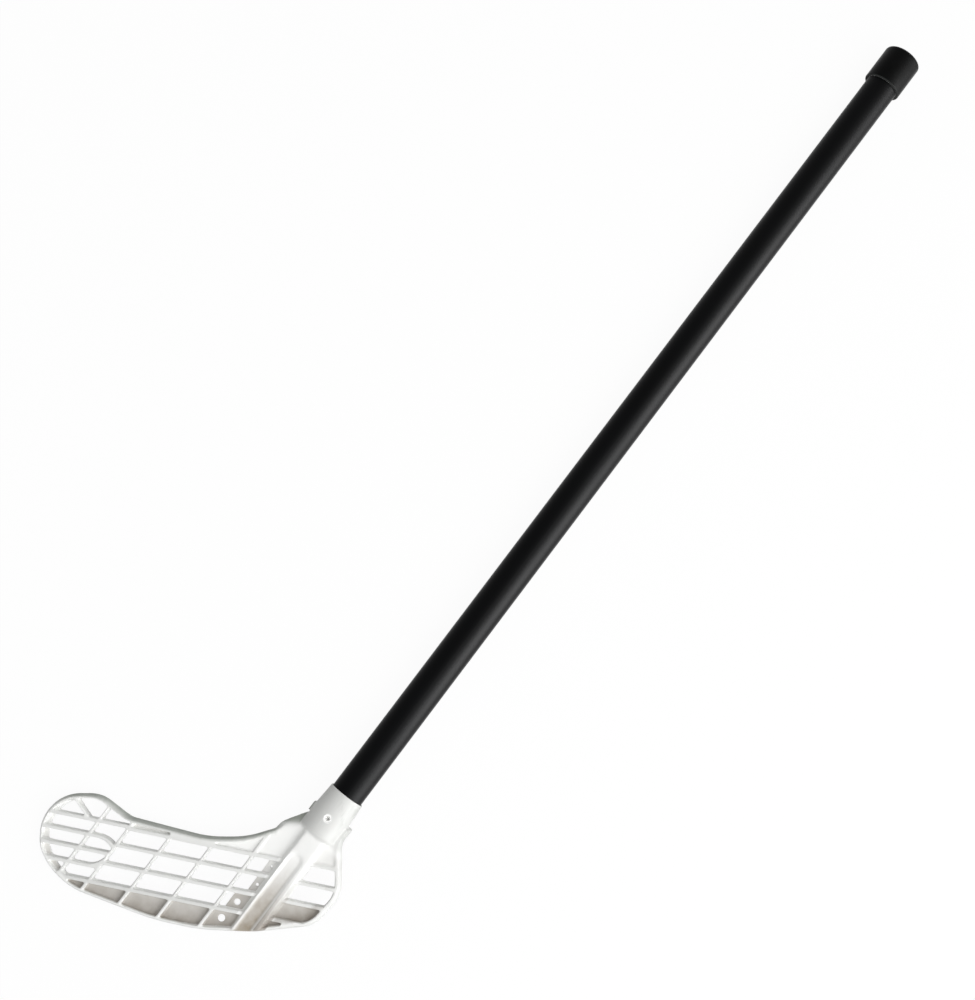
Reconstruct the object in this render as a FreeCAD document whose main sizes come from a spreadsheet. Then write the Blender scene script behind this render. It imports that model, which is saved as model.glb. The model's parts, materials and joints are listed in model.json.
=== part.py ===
import FreeCAD
import Part
import Sketcher
import math
import os
import re

# A floorball stick: lattice blade with its socket, shaft tube, socket screw and rubber end cap.
# It is drawn with the shaft's axis on X, the socket's mouth at X = 0, the cap towards +X, the
# toe towards +Y and the blade's middle plane at Z = 0. Each piece's Placement then rolls the
# stick onto its toe and lifts it onto the floor, with the origin under the middle of its box.

# Lengths are millimetres and angles are degrees.
SIZES = {
    # Shaft
    "shaft_diameter": 28.0,
    "shaft_wall": 2.0,
    "shaft_length": 810.5,
    # Socket at the top of the blade
    "socket_depth": 36.0,
    "socket_clearance": 0.1,
    "socket_lip_wall": 1.1,
    "socket_wall": 2.4,
    "socket_taper_length": 19.0,
    "socket_floor": 2.6,
    "socket_nose_length": 3.0,
    # Blade outline, in its own axes: along the bottom edge to the toe, and up
    "blade_length": 245.0,
    "blade_height": 108.2,
    "blade_half_depth": 6.0,
    "lie_angle": 53.0,
    "heel_setback": 87.9,
    "heel_offset": 62.0,
    "rim_width": 3.6,
    "toe_strip_width": 4.4,
    "heel_rim_extra": 2.2,
    "top_rim_extra": 0.6,
    "edge_round": 0.4,
    "shoulder_width": 12.0,
    "shoulder_drop": 10.0,
    # Lattice of ribs
    "rib_width": 3.2,
    "row_width": 4.2,
    "rib_flank_angle": 8.0,
    "cell_flank_angle": 10.0,
    "row_angle": 64.2,
    "row_start": 65.9,
    "row_pitch": 17.7,
    "top_row_drop": 1.6,
    "column_pitch": 31.0,
    "toe_column_gap": 23.0,
    "web_thickness": 2.4,
    "high_web_sink": 2.4,
    "high_web_rise": 27.0,
    "cell_corner": 0.4,
    "strip_width": 5.5,
    # Spine from the socket to the bottom edge
    "spine_width": 25.0,
    "spine_crest_width": 17.0,
    "spine_length": 112.0,
    "spine_depth_at_socket": 11.0,
    "spine_depth_at_edge": 6.4,
    "panel_width": 8.0,
    "panel_wall_angle": 58.0,
    "panel_offset": 1.4,
    "panel_start": 62.0,
    "panel_depth": 2.1,
    # Screw through the socket's front wall
    "screw_setback": 22.7,
    "screw_head_diameter": 5.5,
    "screw_head_depth": 1.5,
    "screw_shank_diameter": 2.9,
    "screw_length": 9.5,
    "screw_tip_length": 1.8,
    "screw_clearance": 0.1,
    "screw_sink": 0.8,
    "drive_slot_length": 3.0,
    "drive_slot_width": 0.8,
    "drive_slot_depth": 0.9,
    # End cap
    "cap_cover": 27.5,
    "cap_wall": 2.45,
    "cap_clearance": 0.05,
    "cap_end_wall": 5.0,
    "cap_end_round": 2.5,
    "cap_rim_round": 0.6,
    # How far a cutting shape runs past what it cuts
    "overrun": 2.0,
}

# Corners of the blade's outline, from the toe's top round by the heel: shares of the blade's
# length and height, the corner's radius as a share of the height, and the width of the bevel on
# the edge that follows as a share of the blade's half depth.
OUTLINE_SHARES = (
    (1.000, 1.000, 0.296, 0.40),
    (0.797, 1.000, 0.259, 0.70),
    (0.695, 0.829, 0.185, 0.45),
    (0.441, 0.685, 0.850, 0.35),
    (0.315, 0.685, 0.700, 0.25),
    (0.221, 0.749, 0.046, 0.60),
    (0.202, 0.796, 0.110, 0.60),
    (0.116, 0.884, 0.074, 1.20),
    (0.092, 0.954, 0.010, 0.40),
    (-0.034, 0.735, 0.010, 0.40),
    (0.000, 0.640, 0.110, 0.40),
    (0.000, 0.257, 0.222, 0.32),
    (0.085, 0.041, 0.222, 0.28),
    (0.280, -0.006, 0.887, 0.28),
    (0.466, 0.008, 1.386, 0.28),
    (0.620, 0.081, 1.848, 0.28),
    (0.895, 0.308, 0.555, 0.28),
    (0.968, 0.467, 0.462, 0.34),
    (1.000, 0.613, 0.240, 0.40),
)

# Where the front's sloping shoulder beside the socket starts, from the toe's side to the socket.
SHOULDER_SHARES = ((0.226, 0.767), (0.100, 0.775))

# The brace between the toe's rim and the first row, as shares of the blade's length and height.
TOE_BRACE_SHARES = ((0.889, 0.985), (0.838, 0.830))

# In the toe the second row curves down to the rib behind it, and the fourth has a bend up to it:
# the row, how far along the gap between the two toe columns the bend leaves the row's line, and how
# many toe rows down it ends.
TOE_BENDS = (
    (1, 0.70, 1.55),
    (3, 0.40, 2.45),
)
CURVED_TOE_ROW = 1

# Round holes in the webs beside the spine: how many rows below the first, how many columns
# towards the toe, and the diameter as a share of the row pitch.
WEB_HOLE_SHARES = (
    (0.52, 0.442, 0.11),
    (1.52, 0.458, 0.14),
    (2.55, 0.597, 0.28),
    (3.48, 0.674, 0.34),
)

# The toe has this many rows where the rest of the lattice has the smaller count.
TOE_ROWS = 4
MAIN_ROWS = 3
COLUMNS = 4

# The strip of web below the third row is this many times as wide as the one above it.
OUTER_STRIP_SHARE = 2.2

# Edges are told apart to this share of a piece's size.
MATCH_SHARE = 1e-6

X_AXIS = FreeCAD.Vector(1, 0, 0)
Y_AXIS = FreeCAD.Vector(0, 1, 0)
Z_AXIS = FreeCAD.Vector(0, 0, 1)

doc = FreeCAD.newDocument("FloorballStick")
sheet = doc.addObject("Spreadsheet::Sheet", "Sizes")
for row, (alias, value) in enumerate(SIZES.items(), start=1):
    sheet.set(f"A{row}", alias.replace("_", " "))
    sheet.set(f"B{row}", str(value))
    sheet.setAlias(f"B{row}", alias)
doc.recompute()


def size(formula):
    """Value of a formula in the sheet's aliases, such as 'shaft_diameter / 2'."""
    return float(sheet.evalExpression(formula))


def bound(formula):
    """The same formula with each alias written as a cell of the sheet."""
    return re.sub("[a-z_]+", lambda word: f"Sizes.{word[0]}", formula)


def bind(thing, **formulas):
    """Tie properties to the sheet; a double underscore stands for a dot in the property's path."""
    for path, formula in formulas.items():
        thing.setExpression(path.replace("__", "."), bound(formula))
    return thing


def add(kind, name, **formulas):
    """New object in the document with its sizes tied to the sheet."""
    return bind(doc.addObject(kind, name), **formulas)


def combine(kind, name, shapes):
    """Boolean of two objects, or a fusion of many."""
    result = doc.addObject(kind, name)
    if kind == "Part::MultiFuse":
        result.Shapes = shapes
    else:
        result.Base, result.Tool = shapes
    return result


def plane(body, role):
    """One of a body's own origin planes or axes."""
    return next(item for item in body.Origin.OriginFeatures if item.Role == role)


def sketch_on(body, name, role):
    """Empty sketch on one of a body's origin planes."""
    sketch = body.newObject("Sketcher::SketchObject", name)
    sketch.AttachmentSupport = (plane(body, role), "")
    sketch.MapMode = "FlatFace"
    doc.recompute()
    return sketch


def tie(sketch, kind, elements, formula):
    """Dimension in a sketch that follows a formula."""
    index = sketch.addConstraint(Sketcher.Constraint(kind, *elements, size(formula)))
    sketch.setExpression(f"Constraints[{index}]", bound(formula))


def draw_polygon(sketch, corners):
    """Closed run of lines whose corners are pairs of formulas."""
    points = [FreeCAD.Vector(size(across), size(up), 0) for across, up in corners]
    first = sketch.GeometryCount
    for start, end in zip(points, points[1:] + points[:1]):
        sketch.addGeometry(Part.LineSegment(start, end))
    for index, (across, up) in enumerate(corners):
        previous = (index - 1) % len(corners)
        sketch.addConstraint(Sketcher.Constraint("Coincident", first + previous, 2, first + index, 1))
        tie(sketch, "DistanceX", (-1, 1, first + index, 1), across)
        tie(sketch, "DistanceY", (-1, 1, first + index, 1), up)


def draw_circle(sketch, across, up, radius):
    """Circle whose centre and radius are formulas."""
    centre = FreeCAD.Vector(size(across), size(up), 0)
    index = sketch.addGeometry(Part.Circle(centre, Z_AXIS, size(radius)))
    tie(sketch, "DistanceX", (-1, 1, index, 3), across)
    tie(sketch, "DistanceY", (-1, 1, index, 3), up)
    tie(sketch, "Radius", (index,), radius)


def feature(body, kind, name, sketch, **formulas):
    """PartDesign feature made from a sketch."""
    result = body.newObject(kind, name)
    result.Profile = sketch
    return bind(result, **formulas)


# Outline and lattice of the blade, as flat faces in the middle plane

BORE_RADIUS = "(shaft_diameter / 2 + socket_clearance)"
SOCKET_RADIUS = "(shaft_diameter / 2 + socket_clearance + socket_wall)"
SOCKET_END = "-(socket_depth + socket_floor)"
ROW_SLOPE = 1 / math.tan(math.radians(size("row_angle")))


def blade_point(along_share, up_share):
    """Place in the stick's frame of a point in the blade's own axes."""
    lie = math.radians(size("lie_angle"))
    along = along_share * size("blade_length")
    up = up_share * size("blade_height")
    x = -size("heel_setback") - along * math.cos(lie) + up * math.sin(lie)
    y = -size("heel_offset") + along * math.sin(lie) + up * math.cos(lie)
    return FreeCAD.Vector(x, y, 0)


def rounded_loop(corners):
    """Closed wire of straight runs joined by tangent arcs, one per corner (point, radius)."""
    arcs = []
    points = [point for point, radius in corners]
    for index, (point, radius) in enumerate(corners):
        back = (points[index - 1] - point).normalize()
        ahead = (points[(index + 1) % len(points)] - point).normalize()
        half = back.getAngle(ahead) / 2
        inward = (back + ahead).normalize()
        reach = radius / math.tan(half)
        top = point + inward * (radius / math.sin(half) - radius)
        arcs.append((point + back * reach, top, point + ahead * reach))
    edges = []
    for arc, following in zip(arcs, arcs[1:] + arcs[:1]):
        edges.append(Part.Arc(*arc).toShape())
        edges.append(Part.LineSegment(arc[2], following[0]).toShape())
    return Part.Wire(edges)


def inset_corners(depth):
    """The outline's corners where the bevels have climbed to a share of the half depth.

    Each edge moves inwards by its own bevel times that share, and neighbours meet again. Corners
    that point outwards lose that much radius, and corners that point inwards gain it.
    """
    points = [blade_point(along, up) for along, up, radius, bevel in OUTLINE_SHARES]
    insets = [depth * bevel * size("blade_half_depth") for along, up, radius, bevel in OUTLINE_SHARES]
    corners = []
    for index, (along, up, radius_share, bevel) in enumerate(OUTLINE_SHARES):
        into = (points[index] - points[index - 1]).normalize()
        onward = (points[(index + 1) % len(points)] - points[index]).normalize()
        turn = into.cross(onward).z
        before = insets[index - 1]
        after = insets[index]
        point = points[index] + into * (after / turn) - onward * (before / turn)
        radius = radius_share * size("blade_height") + math.copysign((before + after) / 2, turn)
        corners.append((point, max(radius, size("edge_round"))))
    return corners


def strip(start, end, width):
    """Flat strip of a given width along a line."""
    side = (end - start).normalize().cross(Z_AXIS) * (width / 2)
    loop = [start + side, end + side, end - side, start - side]
    return Part.Face(Part.makePolygon(loop + loop[:1]))


def curved_strip(start, heading, end, width):
    """Flat strip along the arc that leaves a point in a given direction and ends at another."""
    chord = end - start
    side = heading.cross(Z_AXIS).normalize()
    radius = chord.Length ** 2 / (2 * chord.dot(side))
    centre = start + side * radius
    outer = Part.Face(Part.Wire(Part.makeCircle(abs(radius) + width / 2, centre)))
    inner = Part.Face(Part.Wire(Part.makeCircle(abs(radius) - width / 2, centre)))
    sector = [centre, centre + (start - centre) * 2, centre + (end - centre) * 2]
    return outer.cut(inner).common(Part.Face(Part.makePolygon(sector + sector[:1])))


def row_point(drop, across):
    """Point on a row line: drop is how far below the first row it crosses the shaft's axis."""
    return FreeCAD.Vector(-size("row_start") - drop - across * ROW_SLOPE, across, 0)


def column_strip(across):
    """Rib parallel to the shaft at a distance from its axis."""
    low = FreeCAD.Vector(-far, across, 0)
    return strip(low, FreeCAD.Vector(0, across, 0), size("rib_width"))


def row_strip(drop, start, end):
    """Rib along a row between two distances from the shaft's axis."""
    return strip(row_point(drop, start), row_point(drop, end), size("row_width"))


def below_row(drop, start, end):
    """All that lies below a row line between two distances from the shaft's axis."""
    low_start = FreeCAD.Vector(-far, start, 0)
    low_end = FreeCAD.Vector(-far, end, 0)
    loop = [row_point(drop, start), row_point(drop, end), low_end, low_start]
    return Part.Face(Part.makePolygon(loop + loop[:1]))


def above_row(drop, start, end):
    """All that lies above a row line between two distances from the shaft's axis."""
    top_start = FreeCAD.Vector(far, start, 0)
    top_end = FreeCAD.Vector(far, end, 0)
    loop = [row_point(drop, start), top_start, top_end, row_point(drop, end)]
    return Part.Face(Part.makePolygon(loop + loop[:1]))


def wide_enough(faces, corner):
    """The faces that are wide enough to lose a corner's radius all round."""
    return [face for face in faces if face.Area > corner * face.Length]


def softened(faces, inset=0):
    """Faces drawn in by an inset, with their corners rounded; one too narrow for it stays solid."""
    corner = size("cell_corner")
    wide = wide_enough(faces, corner + inset)
    drawn_in = [face.makeOffset2D(-corner - inset).makeOffset2D(corner) for face in wide]
    return Part.makeCompound(drawn_in)


far = size("blade_length + blade_height")
outline_face = Part.Face(rounded_loop(inset_corners(0)))
lip_wire = rounded_loop(inset_corners(1))
inside_rim = outline_face.makeOffset2D(-size("rim_width"))
towards_toe = (blade_point(1, 0) - blade_point(0, 0)).normalize()
upwards = (blade_point(0, 1) - blade_point(0, 0)).normalize()
for thicker in (towards_toe * size("heel_rim_extra"), upwards * -size("top_rim_extra")):
    inside_rim = inside_rim.common(inside_rim.translated(thicker))
shoulder_start, shoulder_end = (blade_point(*shares) for shares in SHOULDER_SHARES)
shoulder_run = shoulder_end - shoulder_start
shoulder_out = Z_AXIS.cross(shoulder_run).normalize()
shoulder_lip = shoulder_out * -size("rim_width")
shoulder_loop = [
    shoulder_start + shoulder_lip, shoulder_end + shoulder_lip,
    shoulder_end + shoulder_out * far, shoulder_start + shoulder_out * far,
]
shoulder_block = Part.Face(Part.makePolygon(shoulder_loop + shoulder_loop[:1]))
toe_strip = inside_rim.cut(inside_rim.translated(towards_toe * -size("toe_strip_width")))

toe_column = size("column_pitch") * COLUMNS
columns = [size("column_pitch") * (number + 1) for number in range(COLUMNS)]
columns.append(toe_column + size("toe_column_gap"))
lattice_height = size("row_pitch") * MAIN_ROWS
ribs = [column_strip(across) for across in columns]
ribs.append(row_strip(0, -far, 0))
ribs.append(row_strip(size("top_row_drop"), 0, toe_column))
for number in range(1, MAIN_ROWS + 1):
    ribs.append(row_strip(number * size("row_pitch"), -far, toe_column))
toe_pitch = lattice_height / TOE_ROWS
row_starts = [toe_column] * (TOE_ROWS + 1)
for number, gap_share, foot_row in TOE_BENDS:
    bend_start = toe_column + gap_share * size("toe_column_gap")
    bend_top = row_point(number * toe_pitch, bend_start)
    bend_foot = row_point(foot_row * toe_pitch, toe_column)
    heading = bend_top - row_point(number * toe_pitch, far)
    ribs.append(curved_strip(bend_top, heading, bend_foot, size("row_width")))
    if number == CURVED_TOE_ROW:
        row_starts[number] = bend_start
for number, start in enumerate(row_starts):
    ribs.append(row_strip(number * toe_pitch, start, far))
ribs.append(strip(*(blade_point(*shares) for shares in TOE_BRACE_SHARES), size("rib_width")))

spine_core = strip(FreeCAD.Vector(-far, 0, 0), FreeCAD.Vector(0, 0, 0), size("spine_crest_width"))
socket_end = -size("socket_depth + socket_floor")
socket_block = strip(FreeCAD.Vector(socket_end, 0, 0), FreeCAD.Vector(0, 0, 0), far)
cells = inside_rim.cut(ribs + [spine_core, socket_block, shoulder_block])

spine_side = size("spine_width / 2")
strip_side = spine_side + size("strip_width")
wide_strip_side = spine_side + size("strip_width") * OUTER_STRIP_SHARE
last_row = lattice_height - size("row_pitch")
webbed = [
    above_row(0, -far, toe_column),
    below_row(lattice_height, -far, far),
    below_row(last_row, -far, 0),
    below_row(0, 0, strip_side),
    below_row(last_row, 0, wide_strip_side),
    toe_strip,
]
open_faces = cells.cut(webbed).Faces
open_cells = doc.addObject("Part::Feature", "OpenCells")
open_cells.Shape = softened(open_faces)
closed_cells = cells.cut(open_faces)
beside_socket = above_row(0, -far, columns[2])
bottom_row = below_row(lattice_height, -far, far)
heel_rows = below_row(last_row, -far, 0)
web_depth = size("blade_half_depth - web_thickness / 2")
steeper, flatter = (math.tan(math.radians(size(f"{part}_flank_angle"))) for part in ("rib", "cell"))
cell_inset = web_depth * (flatter - steeper)
low_faces = closed_cells.common(bottom_row).Faces + closed_cells.cut(bottom_row).common(heel_rows).Faces
low_faces = wide_enough(low_faces, size("cell_corner") + cell_inset)
low_cells = doc.addObject("Part::Feature", "LowWebbedCells")
low_cells.Shape = softened(low_faces, cell_inset)
webbed_cells = doc.addObject("Part::Feature", "WebbedCells")
webbed_cells.Shape = softened(closed_cells.cut([beside_socket] + low_faces).Faces)
high_cells = doc.addObject("Part::Feature", "HighWebbedCells")
high_cells.Shape = softened(closed_cells.common(beside_socket).Faces)
outline = doc.addObject("Part::Feature", "Outline")
outline.Shape = outline_face.OuterWire
lip = doc.addObject("Part::Feature", "Lip")
lip.Shape = lip_wire


# Blade

def mirrored(name, source):
    """The same shape on the blade's other face."""
    result = doc.addObject("Part::Mirroring", name)
    result.Source = source
    result.Normal = Z_AXIS
    return result


def extrude(name, base, height, taper):
    """Extrusion of flat faces towards the front, with drafted sides."""
    result = add("Part::Extrusion", name, LengthFwd=height, TaperAngle=taper)
    result.Base = base
    result.DirMode = "Custom"
    result.Dir = Z_AXIS
    result.Solid = True
    return result


def extrude_both(name, base, height, taper):
    """The same extrusion towards the front and the back, joined in the middle plane."""
    front = extrude(f"Front{name}", base, height, taper)
    return combine("Part::MultiFuse", name, [front, mirrored(f"Back{name}", front)])


def turned(kind, name, start, **formulas):
    """Round primitive on the shaft's axis, from a place along it towards the cap."""
    result = doc.addObject(kind, name)
    result.Placement = FreeCAD.Placement(FreeCAD.Vector(), FreeCAD.Rotation(Y_AXIS, 90))
    return bind(result, Placement__Base__x=start, **formulas)


def spine_section(name, place, depth):
    """Six-sided section of the spine across the shaft's axis."""
    half = "spine_width / 2"
    crest = "spine_crest_width / 2"
    section = doc.addObject("Sketcher::SketchObject", name)
    draw_polygon(section, (
        (f"-{half}", "0"),
        (f"-{crest}", f"-{depth}"),
        (crest, f"-{depth}"),
        (half, "0"),
        (crest, depth),
        (f"-{crest}", depth),
    ))
    across = FreeCAD.Rotation(Y_AXIS, Z_AXIS, X_AXIS, "XYZ")
    section.Placement = FreeCAD.Placement(FreeCAD.Vector(), across)
    return bind(section, Placement__Base__x=place)


bind(lip, Placement__Base__z="blade_half_depth")
front_plate = doc.addObject("Part::Loft", "FrontPlate")
front_plate.Sections = [outline, lip]
front_plate.Solid = True
front_plate.Ruled = True
plate = combine("Part::MultiFuse", "Plate", [front_plate, mirrored("BackPlate", front_plate)])
windows = extrude_both("Windows", open_cells, "blade_half_depth + overrun", "rib_flank_angle")
deep_pockets = extrude("DeepPockets", webbed_cells, "blade_half_depth + overrun", "rib_flank_angle")
bind(deep_pockets, Placement__Base__z="web_thickness / 2")
low_pockets = extrude("LowPockets", low_cells, "blade_half_depth + overrun", "cell_flank_angle")
bind(low_pockets, Placement__Base__z="web_thickness / 2")
high_prisms = extrude("HighPrisms", high_cells, "high_web_sink + overrun", "rib_flank_angle")
bind(high_prisms, Placement__Base__z="blade_half_depth - high_web_sink")

# The webs under the top edge slope: level with the rim at their top, sunk beside the first row.
row_run = (row_point(0, far) - row_point(0, -far)).normalize()
up_row = row_run.cross(Z_AXIS)
slope_foot = row_point(0, -far) + Z_AXIS * size("blade_half_depth - high_web_sink")
slope_top = row_point(0, -far) + up_row * size("high_web_rise") + Z_AXIS * size("blade_half_depth")
above_slope = Z_AXIS * size("high_web_sink + overrun")
slope_section = [slope_foot, slope_top, slope_top + above_slope, slope_foot + above_slope]
slope = doc.addObject("Part::Feature", "WebSlope")
slope_face = Part.Face(Part.makePolygon(slope_section + slope_section[:1]))
slope.Shape = slope_face.extrude(row_run * far * 3)
high_pockets = combine("Part::Common", "HighPockets", (high_prisms, slope))
pockets = combine("Part::MultiFuse", "Pockets", [deep_pockets, low_pockets, high_pockets])
pierced = combine("Part::Cut", "PiercedPlate", (plate, windows))
recessed = combine("Part::Cut", "RecessedPlate", (pierced, pockets))
lattice = combine("Part::Cut", "Lattice", (recessed, mirrored("BackPockets", pockets)))

# Beside the socket the front slopes away to the top edge.
lip_height = Z_AXIS * size("blade_half_depth")
shoulder_side = shoulder_start + shoulder_out * size("shoulder_width")
above_lip = lip_height + Z_AXIS * size("overrun")
shoulder_section = [
    shoulder_start + lip_height,
    shoulder_side + lip_height - Z_AXIS * size("shoulder_drop"),
    shoulder_side + above_lip,
    shoulder_start + above_lip,
]
shoulder = doc.addObject("Part::Feature", "Shoulder")
shoulder_face = Part.Face(Part.makePolygon(shoulder_section + shoulder_section[:1]))
shoulder.Shape = shoulder_face.extrude(shoulder_run)
shouldered = combine("Part::Cut", "ShoulderedLattice", (lattice, shoulder))

# The spine tapers from the socket to the bottom edge, where the outline's bevel ends it.
spine_loft = doc.addObject("Part::Loft", "SpineLoft")
spine_loft.Sections = [
    spine_section("SpineTop", SOCKET_END, "spine_depth_at_socket"),
    spine_section("SpineFoot", f"{SOCKET_END} - spine_length", "spine_depth_at_edge"),
]
spine_loft.Solid = True
spine_loft.Ruled = True
spine_limit = add(
    "Part::Extrusion", "SpineLimit", LengthFwd="(spine_depth_at_socket + overrun) * 2",
    Placement__Base__z="-(spine_depth_at_socket + overrun + blade_half_depth)",
)
spine_limit.Base = lip
spine_limit.DirMode = "Custom"
spine_limit.Dir = Z_AXIS
spine_limit.Solid = True
spine = combine("Part::Common", "Spine", (spine_loft, spine_limit))

# The socket is a tapered mouth, a barrel, and a nose that runs down to the spine.
mouth = turned(
    "Part::Cone", "SocketMouth", "-socket_taper_length", Height="socket_taper_length",
    Radius1=SOCKET_RADIUS, Radius2=f"{BORE_RADIUS} + socket_lip_wall",
)
barrel = turned(
    "Part::Cylinder", "SocketBarrel", SOCKET_END,
    Radius=SOCKET_RADIUS, Height="socket_depth + socket_floor - socket_taper_length",
)
nose = turned(
    "Part::Cone", "SocketNose", f"{SOCKET_END} - socket_nose_length", Height="socket_nose_length",
    Radius1="spine_depth_at_socket", Radius2=SOCKET_RADIUS,
)
moulding = combine("Part::MultiFuse", "Moulding", [shouldered, spine, mouth, barrel, nose])

bore = turned(
    "Part::Cylinder", "SocketBore", "-socket_depth",
    Radius=BORE_RADIUS, Height="socket_depth + overrun",
)
HEAD_TOP = f"({SOCKET_RADIUS} - screw_sink)"
HEAD_HOLE = "screw_head_diameter / 2 + screw_clearance"
SHANK_HOLE = "screw_shank_diameter / 2 + screw_clearance"
seat = add(
    "Part::Cone", "ScrewSeat", Radius1=SHANK_HOLE, Radius2=HEAD_HOLE, Height="screw_head_depth",
    Placement__Base__x="-screw_setback", Placement__Base__z=f"{HEAD_TOP} - screw_head_depth",
)
recess = add(
    "Part::Cylinder", "ScrewRecess", Radius=HEAD_HOLE, Height="screw_sink + overrun",
    Placement__Base__x="-screw_setback", Placement__Base__z=HEAD_TOP,
)
shank_hole = add(
    "Part::Cylinder", "ShankHole", Radius=SHANK_HOLE, Height=HEAD_TOP,
    Placement__Base__x="-screw_setback",
)
web_holes = []
for number, (rows, column_share, diameter_share) in enumerate(WEB_HOLE_SHARES):
    place = row_point(rows * size("row_pitch"), column_share * size("column_pitch"))
    hole = doc.addObject("Part::Cylinder", f"WebHole{number}")
    hole.Placement = FreeCAD.Placement(place, FreeCAD.Rotation())
    web_holes.append(bind(
        hole, Radius=f"row_pitch * {diameter_share / 2}", Height="blade_half_depth * 2",
        Placement__Base__z="-blade_half_depth",
    ))

# A shallow panel with sloping walls is sunk into both faces of the spine: round at its top, open at
# the bottom edge.
crest_drop = size("spine_depth_at_socket - spine_depth_at_edge")
crest_slope = math.degrees(math.atan2(crest_drop, size("spine_length")))
crest = FreeCAD.Placement(
    FreeCAD.Vector(size(SOCKET_END), size("panel_offset"), size("spine_depth_at_socket")),
    FreeCAD.Rotation(Y_AXIS, -crest_slope),
)
panel_side = size("panel_width / 2")
panel_top = size("socket_depth + socket_floor - panel_start")
round_start = panel_top - panel_side
panel_foot = round_start - size("spine_length")
panel_corners = [
    FreeCAD.Vector(round_start, panel_side, 0),
    FreeCAD.Vector(panel_foot, panel_side, 0),
    FreeCAD.Vector(panel_foot, -panel_side, 0),
    FreeCAD.Vector(round_start, -panel_side, 0),
]
panel_end = Part.Arc(panel_corners[-1], FreeCAD.Vector(panel_top, 0, 0), panel_corners[0])
panel_sides = Part.makePolygon(panel_corners)
panel_floor = doc.addObject("Part::Feature", "PanelFloor")
panel_floor.Shape = Part.Face(Part.Wire(panel_sides.Edges + [panel_end.toShape()]))
sunk = FreeCAD.Placement(FreeCAD.Vector(0, 0, -size("panel_depth")), FreeCAD.Rotation())
panel_floor.Placement = crest * sunk
panel = extrude("Panel", panel_floor, "panel_depth + overrun", "panel_wall_angle")
panel.Dir = crest.Rotation.multVec(Z_AXIS)
cutters = [bore, seat, recess, shank_hole, panel, mirrored("BackPanel", panel)] + web_holes
blade = combine("Part::Cut", "Blade", (moulding, combine("Part::MultiFuse", "BladeCutters", cutters)))

# Shaft: a plain tube with a hole for the screw

shaft = doc.addObject("PartDesign::Body", "Shaft")
ring = sketch_on(shaft, "TubeSection", "YZ_Plane")
draw_circle(ring, "0", "0", "shaft_diameter / 2")
draw_circle(ring, "0", "0", "shaft_diameter / 2 - shaft_wall")
feature(shaft, "PartDesign::Pad", "Tube", ring, Length="shaft_length")
drilling = sketch_on(shaft, "ScrewHoleSection", "XY_Plane")
draw_circle(drilling, "socket_depth - screw_setback", "0", SHANK_HOLE)
doc.recompute()
whole_tube = shaft.Shape.Volume
screw_hole = feature(shaft, "PartDesign::Pocket", "ScrewHole", drilling, Length="shaft_diameter")
screw_hole.Reversed = True

# End cap: a rubber cup with a rounded end

end_cap = doc.addObject("PartDesign::Body", "EndCap")
CAP_BORE = "(shaft_diameter / 2 + cap_clearance)"
CAP_RADIUS = "(shaft_diameter / 2 + cap_clearance + cap_wall)"
cup = sketch_on(end_cap, "CupSection", "XY_Plane")
draw_polygon(cup, (
    ("0", CAP_BORE),
    ("0", CAP_RADIUS),
    ("cap_cover + cap_end_wall", CAP_RADIUS),
    ("cap_cover + cap_end_wall", "0"),
    ("cap_cover + cap_clearance", "0"),
    ("cap_cover + cap_clearance", CAP_BORE),
))
revolution = feature(end_cap, "PartDesign::Revolution", "Cup", cup)
revolution.ReferenceAxis = (plane(end_cap, "X_Axis"), [""])
doc.recompute()


def round_edge(body, base, name, place, radius, round_size):
    """Fillet on the circular edge of a given radius at a place along the shaft's axis."""
    near = base.Shape.BoundBox.DiagonalLength * MATCH_SHARE
    names = []
    for number, edge in enumerate(base.Shape.Edges, start=1):
        if not isinstance(edge.Curve, Part.Circle):
            continue
        same_radius = abs(edge.Curve.Radius - size(radius)) < near
        same_place = abs(edge.Curve.Center.x - size(place)) < near
        if same_radius and same_place:
            names.append(f"Edge{number}")
    fillet = body.newObject("PartDesign::Fillet", name)
    fillet.Base = (base, names)
    bind(fillet, Radius=round_size)
    doc.recompute()
    return fillet


rounded_end = round_edge(
    end_cap, revolution, "EndRound", "cap_cover + cap_end_wall", CAP_RADIUS, "cap_end_round",
)
round_edge(end_cap, rounded_end, "RimRound", "0", CAP_RADIUS, "cap_rim_round")

# Socket screw: countersunk, with a cross recess, drawn with its head's top at the origin

screw = doc.addObject("PartDesign::Body", "SocketScrew")
turning = sketch_on(screw, "ScrewSection", "XZ_Plane")
draw_polygon(turning, (
    ("0", "0"),
    ("screw_head_diameter / 2", "0"),
    ("screw_shank_diameter / 2", "-screw_head_depth"),
    ("screw_shank_diameter / 2", "screw_tip_length - screw_length"),
    ("0", "-screw_length"),
))
turned_screw = feature(screw, "PartDesign::Revolution", "TurnedScrew", turning)
turned_screw.ReferenceAxis = (plane(screw, "Z_Axis"), [""])
cross = sketch_on(screw, "DriveSection", "XY_Plane")
reach = "drive_slot_length / 2"
side = "drive_slot_width / 2"
draw_polygon(cross, (
    (reach, f"-{side}"), (reach, side), (side, side), (side, reach), (f"-{side}", reach),
    (f"-{side}", side), (f"-{reach}", side), (f"-{reach}", f"-{side}"), (f"-{side}", f"-{side}"),
    (f"-{side}", f"-{reach}"), (side, f"-{reach}"), (side, f"-{side}"),
))
doc.recompute()
whole_screw = screw.Shape.Volume
feature(screw, "PartDesign::Pocket", "CrossRecess", cross, Length="drive_slot_depth")
doc.recompute()

# Rest: the stick lies on its socket and cap and is rolled until the toe's back touches the floor

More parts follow.
